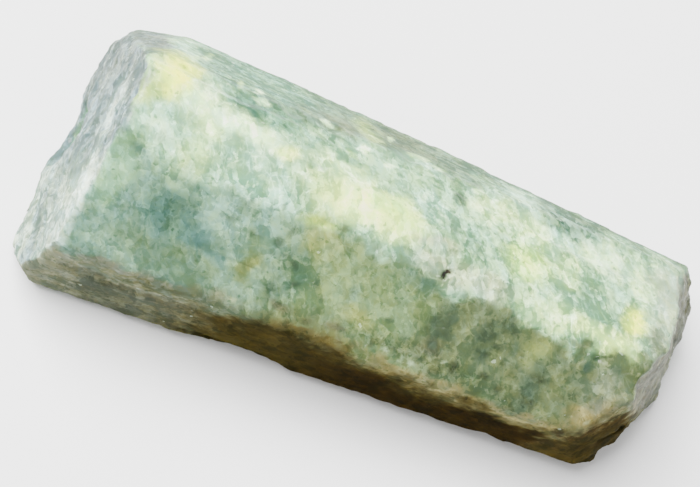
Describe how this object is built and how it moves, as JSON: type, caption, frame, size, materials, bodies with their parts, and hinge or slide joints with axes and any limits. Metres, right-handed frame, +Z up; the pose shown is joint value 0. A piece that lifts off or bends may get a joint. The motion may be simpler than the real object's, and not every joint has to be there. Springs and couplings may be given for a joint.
{
  "type": "aquamarine crystal",
  "caption": "Rough prismatic crystal of aquamarine, lying on a long face: flat prism faces with growth ledges, grooves and pits, one stepped end and one broken end.",
  "frame": {"origin": "middle of the crystal's bounding box in plan, on the surface that it rests on", "axes": "+X along the crystal's long (c) axis, from the stepped end to the broken end; +Z up, away from the face that it rests on; +Y towards its back flank"},
  "size_m": [0.0532, 0.022, 0.0161],
  "materials": {
    "aquamarine": "milky translucent sea-green beryl, glassy faces, frosted broken ends, brown staining low on one side"
  },
  "bodies": {
    "root": {"aquamarine_crystal": "aquamarine"}
  },
  "joints": []
}
